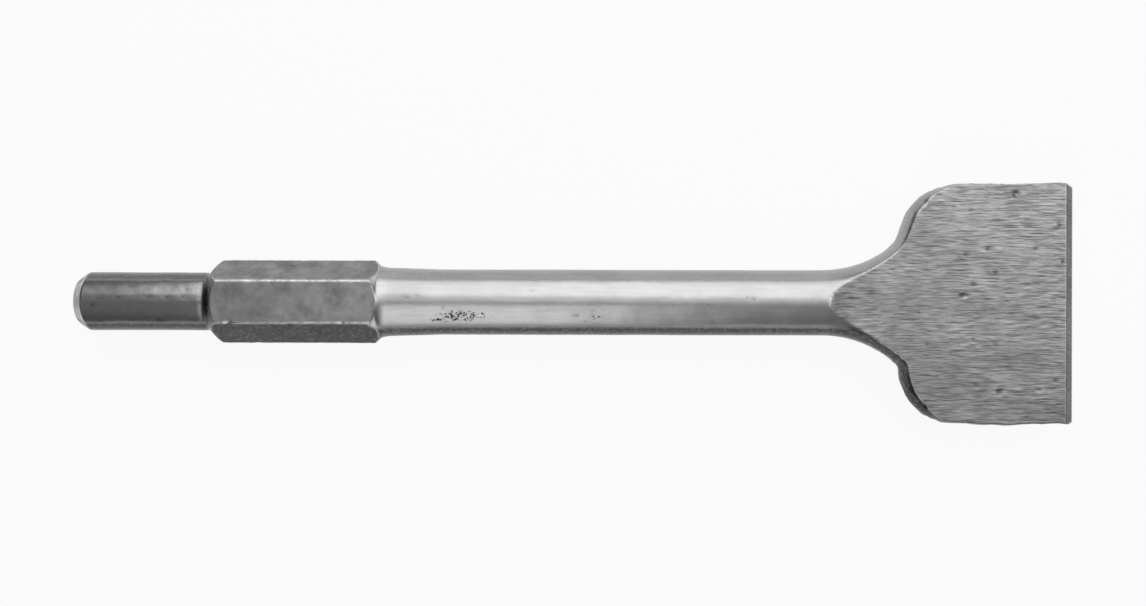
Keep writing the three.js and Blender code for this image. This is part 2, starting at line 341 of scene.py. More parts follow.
# %% Dents in the ground faces
UPPER_DENTS = [
    (385.3, 45.2, 1.9, 1.4, 20, 0.50), (359.2, 39.6, 1.6, 0.9, 60, 0.22),
    (364.4, 19.8, 1.5, 1.3, 40, 0.26), (373.6, 21.8, 1.3, 1.6, 10, 0.30),
    (393.8, 22.5, 1.7, 1.0, 35, 0.22), (376.8, 12.4, 1.5, 1.3, 0, 0.30),
    (367.4, 7.6, 1.7, 1.2, 30, 0.30), (363.2, 3.1, 2.1, 1.3, 15, 0.46),
    (403.6, 32.0, 1.1, 1.8, 0, 0.30), (405.0, 17.2, 1.0, 1.5, 10, 0.26),
    (378.6, -36.8, 1.5, 1.4, 30, 0.50), (395.0, -35.6, 1.3, 1.0, 0, 0.30),
    (402.4, -32.0, 1.5, 1.2, 50, 0.20), (368.5, -33.8, 1.5, 1.0, 25, 0.20),
    (367.3, -15.2, 1.1, 1.4, 20, 0.18), (376.4, -17.2, 1.8, 1.5, 40, 0.12),
    (391.0, 40.0, 1.3, 0.9, 0, 0.14), (401.0, 1.2, 1.4, 1.1, 0, 0.12),
    (348.0, -17.2, 1.5, 0.9, 30, 0.12), (333.6, 13.4, 1.1, 0.8, 0, 0.10),
    (344.6, -4.2, 1.0, 0.9, 0, 0.12), (371.2, 29.5, 0.8, 0.7, 0, 0.16),
    (381.5, 0.5, 0.8, 0.6, 0, 0.14), (356.5, 12.2, 0.8, 0.7, 0, 0.12),
    (388.0, -24.5, 0.9, 0.7, 20, 0.14), (352.5, -30.5, 0.9, 0.7, 0, 0.12),
]
LOWER_DENTS = [
    (388.0, 31.0, 1.6, 1.2, 20, 0.34), (369.0, -24.0, 1.7, 1.3, 40, 0.30),
    (399.0, -38.0, 1.4, 1.1, 0, 0.34), (377.0, 8.0, 1.5, 1.0, 30, 0.26),
    (360.0, 22.0, 1.2, 1.0, 0, 0.22), (350.0, -6.0, 1.3, 0.9, 15, 0.18),
    (393.0, -3.0, 1.4, 1.0, 60, 0.26), (404.0, 20.0, 1.0, 1.5, 0, 0.24),
    (366.0, 40.0, 1.1, 0.9, 30, 0.20), (381.0, -43.0, 1.1, 0.8, 0, 0.22),
]


def dented(x, y, dents):
    """The height that the dents take away or add, and how deep in a dent each point is, 0 to 1.
    A dent is a bell, and its lip a bell about a circle a bit wider, higher on the -Y side."""
    height, depth_share = np.zeros_like(x), np.zeros_like(x)
    ragged = 1 + 0.22 * unevenness(x, y, 0 * x, 1.8, seed=70)
    for at_x, at_y, half_length, half_wide, degrees, depth in dents:
        cosine, sine = math.cos(math.radians(degrees)), math.sin(math.radians(degrees))
        dx, dy = x - at_x, y - at_y
        away = ragged * np.hypot((dx * cosine + dy * sine) / half_length,
                                 (dy * cosine - dx * sine) / half_wide)
        lip = bell(away - 1.15, 0.3) * (0.6 + 0.4 * np.clip(-dy, -1, 1))
        height += 0.42 * depth * lip - 1.4 * depth * bell(away, 0.62)
        depth_share = np.maximum(depth_share, bell(away, 0.6) * min(1, depth / 0.3))
    return height, depth_share


# %% [markdown]
# The blade's surface is built in quarters: left or right half, upper or lower face. In each, the
# columns first climb the round side from its middle to the crease, and then cross the ground face
# to the centre line. They lie closest together beside the crease. Near the root of the blade,
# where the ground face narrows to the tip of a V, more of the columns stay on the round.

# %% The sides and the creases
sides = {}
for side in (1, -1):
    x, y, heading = outline_stations(side)
    y = hand_forged(x, y, side)
    inset = crease_inset(x, heading, edge_radius)
    crease = x + inset * np.sin(heading), np.maximum(y - inset * np.cos(heading), 0)
    sides[side] = x, y, heading, inset, *crease
middle_x = (sides[1][4] + sides[-1][4]) / 2
print("crease runs from", middle_x[0].round(1), "to", middle_x[-1].round(1))

# %% A quarter of the blade
BLADE_COLUMNS = 3 * SHANK_COLUMNS
QUARTER = BLADE_COLUMNS // 4
SIDE_SHARE = 20 / QUARTER
CREASE_SOFTNESS = 0.55
FACE_SLOW_WAVE, FACE_QUICK_WAVE = 0.05, 0.012


def blade_quarter(side, upper):
    """x, y, z, wear, dent and how much each point is ground, for one quarter of the blade: a row
    for each station, a column for each step from the middle of the side to the centre line."""
    x, y, heading, inset, crease_x, crease_y = sides[side]
    radius = edge_radius
    climb = np.arccos(1 - inset / radius)

    even_share = radius * climb / (radius * climb + crease_y)
    settled = smooth_step(308, 331, x)
    side_share = (even_share + (SIDE_SHARE - even_share) * settled)[:, None]
    across = np.linspace(0, 1, QUARTER + 1)[None]
    on_side = np.clip(across / side_share, 0, 1)
    crowd = 0.45 * settled[:, None]
    on_side = on_side * (1 + crowd * (1 - on_side) * on_side)
    on_face = np.clip((across - side_share) / np.maximum(1 - side_share, 1e-9), 0, 1)
    on_face = on_face * (1 - 1.4 * crowd * (1 - on_face) ** 9)

    side_inset = radius[:, None] * (1 - np.cos(on_side * climb[:, None]))
    px = x[:, None] + side_inset * np.sin(heading)[:, None]
    py = y[:, None] - side_inset * np.cos(heading)[:, None]
    py = np.where(on_face > 0, crease_y[:, None] * (1 - on_face), py)
    to_middle = (middle_x - crease_x)[:, None] * on_face
    px = np.where(on_face > 0, crease_x[:, None] + to_middle, px)
    past_crease = (crease_y[:, None] - py) / np.maximum(np.cos(heading), 0.35)[:, None]
    reached = np.where(on_face > 0, inset[:, None] + past_crease, side_inset)

    round_z = round_height(reached, radius[:, None])
    ground_z = ground_height(px)
    pz = smooth_minimum(round_z, ground_z, CREASE_SOFTNESS * smooth_step(410, 405, px) + 0.02)
    groundness = smooth_step(-0.25, 0.25, round_z - ground_z)

    seed = 20 + 2 * int(side > 0) + int(upper > 0)
    near_edge = smooth_step(409.9, 406.5, px)
    slow = unevenness(px, side * py, 0 * px, 24, seed=30 + int(upper > 0))
    quick = unevenness(px / 3, side * py, 0 * px, 3.2, seed=40 + int(upper > 0))
    face_wave = (FACE_SLOW_WAVE * slow + FACE_QUICK_WAVE * quick) * groundness * near_edge
    hollowed, dent = dented(px, side * py, UPPER_DENTS if upper > 0 else LOWER_DENTS)
    pz = pz + (face_wave + hollowed * groundness) * smooth_step(306, 316, px)

    # The outline wavers in and out, and fades to nothing at the centre line and at the stem.
    push = 0.10 * unevenness(px, py * side, pz * upper, 7, seed) + 0.05 * unevenness(
        px, py * side, pz * upper, 2.4, seed + 10)
    push = push * (1 - groundness) * np.sin(on_side * np.pi / 2 + np.pi / 2) ** 0.5
    push = push * smooth_step(318, 345, x)[:, None] * smooth_step(0.2, 1.2, ground_z)
    py = py + push * np.cos(heading)[:, None]
    px = px - push * np.sin(heading)[:, None]

    on_round = reached < inset[:, None]
    crease_gap = np.hypot(reached - inset[:, None], (round_z - ground_z) * on_round)
    wear = 0.42 * bell(crease_gap, 0.55) * smooth_step(305, 309, px)
    bevel_wear = 0.75 * bell(px - bevel_x, 0.4) + 0.5 * bell(px - OVERALL_LENGTH, 0.5)
    wear = wear * (0.7 + 0.45 * unevenness(px, py * side, pz, 3, seed + 5)) + bevel_wear
    return px, side * py, upper * pz, np.clip(wear, 0, 1), dent, groundness


# %% The whole blade
def joined(part):
    """One closed row of points a station: the four quarters end to end, every second reversed."""
    return np.concatenate([
        quarters[0][part][:, :-1], quarters[1][part][:, :0:-1],
        quarters[2][part][:, :-1], quarters[3][part][:, :0:-1]], axis=1)


quarters = [blade_quarter(side, upper) for side, upper in ((1, 1), (-1, 1), (-1, -1), (1, -1))]
blade_x, blade_y, blade_z, blade_wear, blade_dent, blade_ground = map(joined, range(6))
print("blade grid:", blade_x.shape, "widest", np.ptp(blade_y).round(2))

# %% [markdown]
# The two grids are joined in the plain stem, where nothing shows: each cell of the shank's last
# ring meets three cells of the blade's first. The striking face closes in a fan round its middle,
# and the cutting edge in a narrow strip between the upper and the lower face.

# %% Faces of the one closed surface
def ring_faces(rings, columns, first):
    """Four corners a cell: this column and the next, then the same two on the next ring, so that
    round the axis times along it points outwards."""
    here = first + np.arange(rings - 1)[:, None] * columns + np.arange(columns)
    beside = first + np.arange(rings - 1)[:, None] * columns + (np.arange(columns) + 1) % columns
    return np.stack([here, beside, beside + columns, here + columns], axis=-1).reshape(-1, 4)


shank_rings, blade_rings = len(ring_x), len(station_places)
blade_first = shank_rings * SHANK_COLUMNS
pole = blade_first + blade_rings * BLADE_COLUMNS

shank_faces = ring_faces(shank_rings, SHANK_COLUMNS, 0)
blade_faces = ring_faces(blade_rings, BLADE_COLUMNS, blade_first)

column = np.arange(SHANK_COLUMNS)
next_column = (column + 1) % SHANK_COLUMNS
last_ring = (shank_rings - 1) * SHANK_COLUMNS
threes = [blade_first + (3 * column + k) % BLADE_COLUMNS for k in (3, 2, 1, 0)]
join_faces = np.stack([last_ring + column, last_ring + next_column, *threes], axis=1)
fan_faces = np.stack([np.full_like(column, pole), next_column, column], axis=1)

edge_ring = blade_first + (blade_rings - 1) * BLADE_COLUMNS
upper_edge = edge_ring + np.arange(BLADE_COLUMNS // 2 + 1)
lower_edge = edge_ring + (-np.arange(BLADE_COLUMNS // 2 + 1)) % BLADE_COLUMNS
edge_faces = np.stack([upper_edge[:-1], upper_edge[1:], lower_edge[1:], lower_edge[:-1]], axis=1)
edge_faces = [list(dict.fromkeys(face)) for face in edge_faces.tolist()]

# %% The mesh
points = np.concatenate([
    np.stack([shank_x, shank_y, shank_z], axis=-1).reshape(-1, 3),
    np.stack([blade_x, blade_y, blade_z], axis=-1).reshape(-1, 3), [[0, 0, 0]]])
face_groups = [shank_faces.tolist(), join_faces.tolist(), fan_faces.tolist(),
               blade_faces.tolist(), edge_faces]
mesh = bpy.data.meshes.new("spade_chisel_forging")
mesh.from_pydata((points * MM).tolist(), [], [face for group in face_groups for face in group])
chisel = bpy.data.objects.new("spade_chisel_forging", mesh)
bpy.context.scene.collection.objects.link(chisel)
mesh.polygons.foreach_set("use_smooth", np.ones(len(mesh.polygons), bool))
print("triangles:", sum(len(p.vertices) - 2 for p in mesh.polygons), "valid:", not mesh.validate())


def keep_on_mesh(name, shank_values, blade_values, pole_value=0.0):
    """Keeps one number a point as an attribute, which a finish reads by its name."""
    values = np.concatenate([np.ravel(shank_values), np.ravel(blade_values), [pole_value]])
    mesh.attributes.new(name, "FLOAT", "POINT").data.foreach_set("value", values.astype(np.float32))


keep_on_mesh("wear", shank_wear, blade_wear)
keep_on_mesh("dent", shank_dent, blade_dent)

# %% [markdown]
# Two more numbers are kept for the finishes. Pitting marks the places where rust once ate into the
# stem and hexagon. The other darkens the steel: in the foot of the tail, and as painted shade in a
# band along both flanks, heavier on the right flank.

# %% Where rust, the dark foot of the tail and the painted flank shade are
PITTED_PATCHES = [
    (158.6, 115, 14, 3.8, 1.0), (150, 122, 8, 1.6, 1.0), (152, 98, 5, 1.4, 0.7),
    (212, 116, 6, 2.0, 0.9), (208.5, 125, 3.5, 0.8, 1.0), (214.5, 101, 3, 1.2, 0.8),
    (259.6, 124, 2.0, 1.6, 0.9), (273.4, 81, 0.9, 2.2, 0.95), (136.5, 78, 4.5, 1.0, 0.75),
    (302, 113, 2.6, 1.6, 0.75), (96, 84, 7, 4, 0.5), (103, 96, 6, 4, 0.55), (118, 92, 3.5, 5, 0.62),
    (73, 97, 4, 3, 0.4), (235, 106, 12, 2.2, 0.5), (184, 122, 9, 1.5, 0.5), (247, 103, 10, 2, 0.45),
    (11.5, 86, 1.8, 0.9, 0.9), (19.3, 83, 0.9, 0.7, 0.9), (31.7, 81, 1.4, 0.8, 0.95),
    (39.1, 82, 0.8, 0.7, 0.9), (46.3, 81, 1.2, 0.7, 0.9), (25, 86, 14, 1.6, 0.5),
    (81.4, 113, 0.9, 0.8, 1.0), (82, 64, 1.2, 0.5, 0.8), (107, 171, 2.0, 1.0, 0.9),
    (116.5, 172, 1.6, 0.9, 0.85), (180, 270, 18, 5.0, 0.8), (250, 215, 12, 3.0, 0.6),
    (225, 290, 8, 3.0, 0.6), (90, 270, 14, 5.0, 0.5), (140, 200, 9, 3.0, 0.6),
]


def patches(x, turn_round, radius):
    """The strongest of the patches at each point, each a bell about its place."""
    found = np.zeros_like(x)
    for at_x, degrees, half_length, half_wide, strength in PITTED_PATCHES:
        round_by = np.angle(np.exp(1j * (turn_round - np.radians(degrees)))) * radius
        away = np.hypot((x - at_x) / half_length, round_by / half_wide)
        found = np.maximum(found, strength * bell(away**2, 1))
    return found


blade_turn = np.arctan2(blade_z, blade_y)
keep_on_mesh(
    "pitting", patches(shank_x, turn, shank_radius),
    patches(blade_x, blade_turn, np.hypot(blade_y, blade_z)) * smooth_step(312, 306, blade_x))
foot_of_tail = bell(ring_x - 54.6, 1.5)
foot_of_tail += smooth_step(54, 55.5, ring_x) * smooth_step(60, 58, ring_x)
foot_of_tail = np.clip(foot_of_tail, 0, 1)[:, None] * smooth_step(0.1, -0.25, past_flat)
forged_share = 1 - smooth_step(0.1, 0.9, blade_ground)

# The right flank gets more painted shade than the left. On the round bar the band fades in between
# two cosines of the turn. On the hexagon it covers each side's flats, whose corners lie at 0.5.
LEFT_FLANK, RIGHT_FLANK = 0.45, 1.0
# On the tail the left flank gets painted shade too.
TAIL_LEFT_FLANK = 0.8
BAND_LOW, BAND_HIGH = 0.62, 0.82
FLATS_LOW, FLATS_HIGH = 0.50, 0.55


def painted_flank_shade(turn_round, low=BAND_LOW, high=BAND_HIGH):
    """How much painted shade a flank gets: a smooth step of the cosine of the turn, on each side.
    """
    sideways = np.cos(turn_round)
    return LEFT_FLANK * smooth_step(low, high, sideways) + RIGHT_FLANK * smooth_step(
        low, high, -sideways)


on_tail = smooth_step(HEX_START, 53, shank_x)
# Painted shade on the shank's flanks: a band on the round bar, the side flats on the hexagon.
shank_flank_shade = painted_flank_shade(turn, BAND_LOW + (FLATS_LOW - BAND_LOW) * on_hexagon,
                        BAND_HIGH + (FLATS_HIGH - BAND_HIGH) * on_hexagon)
tail_flank_shade = TAIL_LEFT_FLANK * on_tail * smooth_step(BAND_LOW, BAND_HIGH, np.cos(turn))
shank_flank_shade = np.maximum(shank_flank_shade, tail_flank_shade)
# Kept together: the darker foot of the tail, and the painted flank shade on the shank and on the
# blade's forged sides.
keep_on_mesh("flank_shade_and_dark_foot", np.maximum(foot_of_tail, shank_flank_shade),
             painted_flank_shade(blade_turn) * smooth_step(406, 396, blade_x) * forged_share)

# %% [markdown]
# From here on the lesson is about looks. One function turns a colour written as a hexadecimal
# sRGB value into the linear numbers that a shader wants. One more adds a node, with its own
# settings, the values of its sockets and the links that come into it.

# %% Helpers for finishes
def linear(sheet_colour):
    """An sRGB hex value as linear red, green, blue and 1: below 0.04045 a straight line, above it
    the power 2.4."""
    shares = np.array([int(sheet_colour[i:i + 2], 16) for i in (1, 3, 5)]) / 255
    channels = np.where(shares <= 0.04045, shares / 12.92, ((shares + 0.055) / 1.055) ** 2.4)
    return (*channels.tolist(), 1.0)


def add(tree, kind, inputs=None, **settings):
    """Adds a shader node. Settings are its own properties. Inputs go to its sockets by name or
    number: a plain value is set, an output is linked, and a node stands for its first output
    that is in use."""
    made = tree.nodes.new("ShaderNode" + kind)
    for name, setting in settings.items():
        setattr(made, name, setting)
    for socket, given in (inputs or {}).items():
        if isinstance(given, bpy.types.Node):
            given = next(output for output in given.outputs if output.enabled)
        if isinstance(given, bpy.types.NodeSocket):
            tree.links.new(given, made.inputs[socket])
        else:
            made.inputs[socket].default_value = given
    return made


def empty_material(name):
    """A new material with its nodes cleared, and its tree."""
    material = bpy.data.materials.new(name)
    material.use_nodes = True
    material.node_tree.nodes.clear()
    return material, material.node_tree


# %% [markdown]
# Every finish here is bare steel, so every one is a metal with its own colour, roughness and fine
# relief. They share how they look where they have been rubbed, struck or rusted. So one function
# takes a finish's base pattern, then adds worn edges, dents, pits, the dark foot of the tail and
# the painted flank shade from the numbers kept on the mesh. Rust pits are 0.3 to 1 mm across, and
# thickest in the middle of a patch.

# %% Steel, worn as the mesh says, and darkened by its painted flank shade
WORN_BRIGHT = linear("#d8d8d8")
DENT_DARK = linear("#3c3c3c")
PIT_DARK = linear("#232323")
# The dark tint of the foot of the tail and of the painted flank shade.
FLANK_SHADE_AND_FOOT_DARK = linear("#444444")


def finish_steel(tree, place, colour, relief, roughness, relief_height):
    """Puts one finish together. Wear brightens and smooths it, dents darken it, pits darken and
    roughen it, the dark foot of the tail and the painted flank shade darken it, and one bump node
    gives it its fine relief."""
    # The last number read is the dark foot of the tail with the painted flank shade.
    wear, dent, pitting, flank_shade_and_dark_foot = (
        add(tree, "Attribute", attribute_name=name).outputs["Fac"]
        for name in ("wear", "dent", "pitting", "flank_shade_and_dark_foot"))

    grains = add(tree, "TexNoise", {"Vector": place, "Scale": 1 / (1.1 * MM), "Detail": 4.0,
                                    "Roughness": 0.7})
    threshold = add(tree, "MapRange", {0: pitting, 1: 0, 2: 1, 3: 0.86, 4: 0.50})
    above = add(tree, "Math", {0: grains, 1: threshold}, operation="SUBTRACT")
    pits = add(tree, "MapRange", {0: above, 1: 0, 2: 0.07, 3: 0, 4: 1})

    ragged = add(tree, "TexNoise", {"Vector": place, "Scale": 1 / (1.6 * MM), "Detail": 4.0,
                                    "Roughness": 0.65})
    patchy = add(tree, "MapRange", {0: ragged, 1: 0.38, 2: 0.54, 3: 0.3, 4: 1})
    worn = add(tree, "Math", {0: wear, 1: patchy}, operation="MULTIPLY")
    mottled = add(tree, "MapRange", {0: ragged, 1: 0.36, 2: 0.5, 3: 0.82, 4: 1})
    # Painted flank shade and the dark foot of the tail, mottled.
    flank_shade_and_foot_share = add(tree, "Math", {0: flank_shade_and_dark_foot, 1: mottled}, operation="MULTIPLY")
    chipped = add(tree, "MapRange", {0: grains, 1: 0.38, 2: 0.6, 3: 1.0, 4: 0.25})
    struck = add(tree, "Math", {0: dent, 1: chipped}, operation="MULTIPLY")

    for share, tint in ((flank_shade_and_foot_share, FLANK_SHADE_AND_FOOT_DARK), (struck, DENT_DARK), (worn, WORN_BRIGHT),
                        (pits, PIT_DARK)):
        colour = add(tree, "Mix", {0: share, 6: colour, 7: tint}, data_type="RGBA")

    rough = add(tree, "Math", {0: worn, 1: -0.12, 2: roughness}, operation="MULTIPLY_ADD")
    rough = add(tree, "Math", {0: pits, 1: 0.3, 2: rough}, operation="MULTIPLY_ADD")
    height = add(tree, "Math", {0: pits, 1: -1.5, 2: relief}, operation="MULTIPLY_ADD")
    bump = add(tree, "Bump", {"Height": height, "Distance": relief_height})
    shader = add(tree, "BsdfPrincipled", {"Metallic": 1.0, "Base Color": colour,
                                          "Roughness": rough, "Normal": bump})
    add(tree, "OutputMaterial", {"Surface": shader})


# %% [markdown]
# The blade's faces were ground lengthways on a belt. A belt leaves short, slightly wavy scratches
# of about one grit's width, a few millimetres long. Real ones are nearer 0.2 mm wide, and they are
# drawn about 0.5 mm apart here so that they show at arm's length. The noise is stretched along the
# blade, and a slower noise bends it.

# %% Belt-ground tool steel
def belt_ground_steel():
    """Grey from dark to light with a noise seven millimetres long and half a millimetre wide,
    darker again in rarer long gouges, times a slow cloud of tone."""
    material, tree = empty_material("belt_ground_tool_steel")
    place = add(tree, "TexCoord").outputs["Object"]
    bend = add(tree, "TexNoise", {"Vector": place, "Scale": 1 / (12 * MM), "Detail": 2.0})
    shift = add(tree, "MapRange", {0: bend, 1: 0, 2: 1, 3: -0.5 * MM, 4: 0.5 * MM})
    sideways = add(tree, "CombineXYZ", {1: shift})
    bent = add(tree, "VectorMath", {0: place, 1: sideways}, operation="ADD")
    along = add(tree, "Mapping", {"Vector": bent, "Scale": (1 / 7, 1 / 0.45, 1 / 7)})
    strokes = add(tree, "TexNoise", {"Vector": along, "Scale": 1 / MM, "Detail": 2.0,
                                     "Roughness": 0.7})
    longer = add(tree, "Mapping", {"Vector": bent, "Scale": (1 / 8, 1 / 0.5, 1 / 8),
                                   "Location": (0.3, 0.7, 0.1)})
    gouges = add(tree, "TexNoise", {"Vector": longer, "Scale": 1 / MM, "Detail": 1.0})
    clouds = add(tree, "TexNoise", {"Vector": place, "Scale": 1 / (16 * MM), "Detail": 3.0})
    stroke_share = add(tree, "MapRange", {0: strokes, 1: 0.3, 2: 0.68})
    gouge_share = add(tree, "MapRange", {0: gouges, 1: 0.30, 2: 0.44, 3: 0.6, 4: 0})
    cloud_share = add(tree, "MapRange", {0: clouds, 1: 0.35, 2: 0.65})
    shade = add(tree, "Mix", {0: stroke_share, 6: linear("#828282"), 7: linear("#d3d3d3")},
                data_type="RGBA")
    shade = add(tree, "Mix", {0: gouge_share, 6: shade, 7: linear("#525252")}, data_type="RGBA")
    tone = add(tree, "Mix", {0: cloud_share, 6: linear("#ececec"), 7: linear("#ffffff")},
               data_type="RGBA")
    colour = add(tree, "Mix", {0: 1.0, 6: shade, 7: tone}, data_type="RGBA",
                 blend_type="MULTIPLY")
    roughness = add(tree, "MapRange", {0: strokes, 1: 0.3, 2: 0.7, 3: 0.44, 4: 0.36})
    finish_steel(tree, place, colour, strokes, roughness, 0.05 * MM)
    return material


# %% [markdown]
# The bevel was ground crossways on a finer wheel, and whetted since, so it is darker, smoother and
# nearly without scratches.

# %% Whetted bevel
def whetted_steel():
    """Grey between two tones with a noise about two millimetres long and under one wide."""
    material, tree = empty_material("whetted_tool_steel")
    place = add(tree, "TexCoord").outputs["Object"]
    along = add(tree, "Mapping", {"Vector": place, "Scale": (1 / 2.2, 1 / 0.7, 1 / 2.2)})
    strokes = add(tree, "TexNoise", {"Vector": along, "Scale": 1 / MM, "Detail": 2.0})
    share = add(tree, "MapRange", {0: strokes, 1: 0.35, 2: 0.65})
    colour = add(tree, "Mix", {0: share, 6: linear("#909090"), 7: linear("#aaaaaa")},
                 data_type="RGBA")
    roughness = add(tree, "MapRange", {0: strokes, 1: 0.3, 2: 0.7, 3: 0.36, 4: 0.30})
    finish_steel(tree, place, colour, strokes, roughness, 0.015 * MM)
    return material


# %% [markdown]
# After forging and hardening the stem was shot-blasted, which leaves a bright satin skin of tiny
# overlapping craters. Real craters are 0.1 to 0.3 mm across, and are drawn about 0.5 mm across so
# that they show. Faint streaks along the bar are left from rolling.

# %% Shot-blasted steel
def shot_blasted_steel():
    """Grey between two tones with the sum of long streaks and slow clouds. Craters, half a
    millimetre across, set the roughness and the relief."""
    material, tree = empty_material("shot_blasted_tool_steel")
    place = add(tree, "TexCoord").outputs["Object"]
    craters = add(tree, "TexNoise", {"Vector": place, "Scale": 1 / (0.55 * MM), "Detail": 2.0,
                                     "Roughness": 0.6})
    along = add(tree, "Mapping", {"Vector": place, "Scale": (1 / 14, 1 / 1.2, 1 / 1.2)})
    streaks = add(tree, "TexNoise", {"Vector": along, "Scale": 1 / MM, "Detail": 3.0})
    clouds = add(tree, "TexNoise", {"Vector": place, "Scale": 1 / (11 * MM), "Detail": 3.0})
    tone = add(tree, "Math", {0: streaks, 1: clouds}, operation="ADD")
    share = add(tree, "MapRange", {0: tone, 1: 0.76, 2: 1.24})
    colour = add(tree, "Mix", {0: share, 6: linear("#bfbfbf"), 7: linear("#cdcdcd")},
                 data_type="RGBA")
    roughness = add(tree, "MapRange", {0: craters, 1: 0.3, 2: 0.7, 3: 0.27, 4: 0.34})
    finish_steel(tree, place, colour, craters, roughness, 0.018 * MM)
    return material


# %% [markdown]
# The hexagon is left as the rolling mill made it: a duller, darker skin, with blotches a few
# millimetres across where mill scale has come away, and faint marks across it from the rolls.

# %% As-rolled steel
def rolled_steel():
    """Grey between two tones with blotches of seven millimetres plus a little of a noise that
    is thin along the bar and wide across it."""
    material, tree = empty_material("as_rolled_tool_steel")
    place = add(tree, "TexCoord").outputs["Object"]
    blotches = add(tree, "TexNoise", {"Vector": place, "Scale": 1 / (7 * MM), "Detail": 5.0,
                                      "Roughness": 0.62})
    across = add(tree, "Mapping", {"Vector": place, "Scale": (1 / 2, 1 / 12, 1 / 12)})
    roll_marks = add(tree, "TexNoise", {"Vector": across, "Scale": 1 / MM, "Detail": 2.0})
    grain = add(tree, "TexNoise", {"Vector": place, "Scale": 1 / (0.6 * MM), "Detail": 2.0})
    tone = add(tree, "Math", {0: roll_marks, 1: 0.15, 2: blotches}, operation="MULTIPLY_ADD")
    share = add(tree, "MapRange", {0: tone, 1: 0.40, 2: 0.72})
    colour = add(tree, "Mix", {0: share, 6: linear("#929292"), 7: linear("#bababa")},
                 data_type="RGBA")
    roughness = add(tree, "MapRange", {0: blotches, 1: 0.35, 2: 0.65, 3: 0.46, 4: 0.36})
    relief = add(tree, "Math", {0: grain, 1: 0.35, 2: blotches}, operation="MULTIPLY_ADD")
    finish_steel(tree, place, colour, relief, roughness, 0.035 * MM)
    return material


# %% [markdown]
# The tail is turned to size and then hardened, and its years in the hammer have stained it. Fine
# rings go round it, and dark spots of burnt grease sit in the low places.

# %% Turned and hardened steel
def turned_steel():
    """Grey between two tones with stains of three millimetres plus a little of a noise that
    is thin along the bar and wide round it."""
    material, tree = empty_material("turned_hardened_tool_steel")
    place = add(tree, "TexCoord").outputs["Object"]
    across = add(tree, "Mapping", {"Vector": place, "Scale": (1 / 0.6, 1 / 12, 1 / 12)})
    rings = add(tree, "TexNoise", {"Vector": across, "Scale": 1 / MM, "Detail": 2.0})
    stains = add(tree, "TexNoise", {"Vector": place, "Scale": 1 / (3.2 * MM), "Detail": 6.0,
                                    "Roughness": 0.68})
    tone = add(tree, "Math", {0: rings, 1: 0.12, 2: stains}, operation="MULTIPLY_ADD")
    share = add(tree, "MapRange", {0: tone, 1: 0.38, 2: 0.72})
    colour = add(tree, "Mix", {0: share, 6: linear("#a0a0a0"), 7: linear("#b4b4b4")},
                 data_type="RGBA")
    roughness = add(tree, "MapRange", {0: stains, 1: 0.35, 2: 0.65, 3: 0.28, 4: 0.22})
    relief = add(tree, "Math", {0: rings, 1: 0.4, 2: stains}, operation="MULTIPLY_ADD")
    finish_steel(tree, place, colour, relief, roughness, 0.006 * MM)
    return material


# %% [markdown]
# Each face of the mesh takes the finish of its own length of the tool. Along the shank the borders
# lie at the hexagon's two cones. On the blade a face belongs to the grinder if its corners are
# ground, and to the bevel if it lies in the last three millimetres.

# %% Finishes on the faces
finishes = [turned_steel(), rolled_steel(), shot_blasted_steel(), belt_ground_steel(),
            whetted_steel()]
for material in finishes:
    mesh.materials.append(material)
TURNED, ROLLED, BLASTED, GROUND, WHETTED = range(len(finishes))
FRONT_CONE_END = 125


def cell_means(values):
    """The mean of the four corners of every cell of a closed grid."""
    beside = np.roll(values, -1, axis=1)
    return (values[:-1] + values[1:] + beside[:-1] + beside[1:]) / 4


shank_cell_x = cell_means(shank_x)
flats_shown = cell_means(past_flat) > -0.02
behind_hexagon = shank_cell_x < HEX_START - 0.1
up_to_front_cone = (shank_cell_x < FRONT_CONE_END) & (flats_shown | (shank_cell_x < HEX_END))
shank_finish = np.select(
    [behind_hexagon, up_to_front_cone],
    [np.where(flats_shown & (shank_cell_x > 54), ROLLED, TURNED), ROLLED], BLASTED)
blade_cell_x, blade_cell_ground = cell_means(blade_x), cell_means(blade_ground)
ground_cells = blade_cell_ground > 0.5
blade_finish = np.where(ground_cells, GROUND, BLASTED)
blade_finish = np.where((blade_cell_x > bevel_x) & ground_cells, WHETTED, blade_finish)
face_finish = np.concatenate([
    shank_finish.ravel(), np.full(len(join_faces), BLASTED), np.full(len(fan_faces), TURNED),
    blade_finish.ravel(), np.full(len(edge_faces), WHETTED)])
mesh.polygons.foreach_set("material_index", face_finish.astype(np.int32))
mesh.update()
print("faces of each finish:", np.bincount(face_finish).tolist())

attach(chisel, "root")
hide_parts(NODE)

# %% [markdown]
# The tool lies on a pale table. The floor is one big flat sheet just under the tool's lowest point,
# on the hexagon's lower flat. Part of its white is its own, both to the eye and in the steel's
# reflections, so that the background stays clean. The rest is lit, so that the tool keeps a soft
# shadow under it.

# %% The floor
FLOOR_HALF_SIDE = 30
OWN_WHITE_SHARE = 0.92
FLOOR_GAP = 0.02
floor_z = float(points[:, 2].min()) * MM - FLOOR_GAP * MM
floor_mesh = bpy.data.meshes.new("table_top")
floor_mesh.from_pydata(
    [(x * FLOOR_HALF_SIDE, y * FLOOR_HALF_SIDE, floor_z)
     for x, y in ((-1, -1), (1, -1), (1, 1), (-1, 1))], [], [(0, 1, 2, 3)])
floor = bpy.data.objects.new("table_top", floor_mesh)
bpy.context.scene.collection.objects.link(floor)

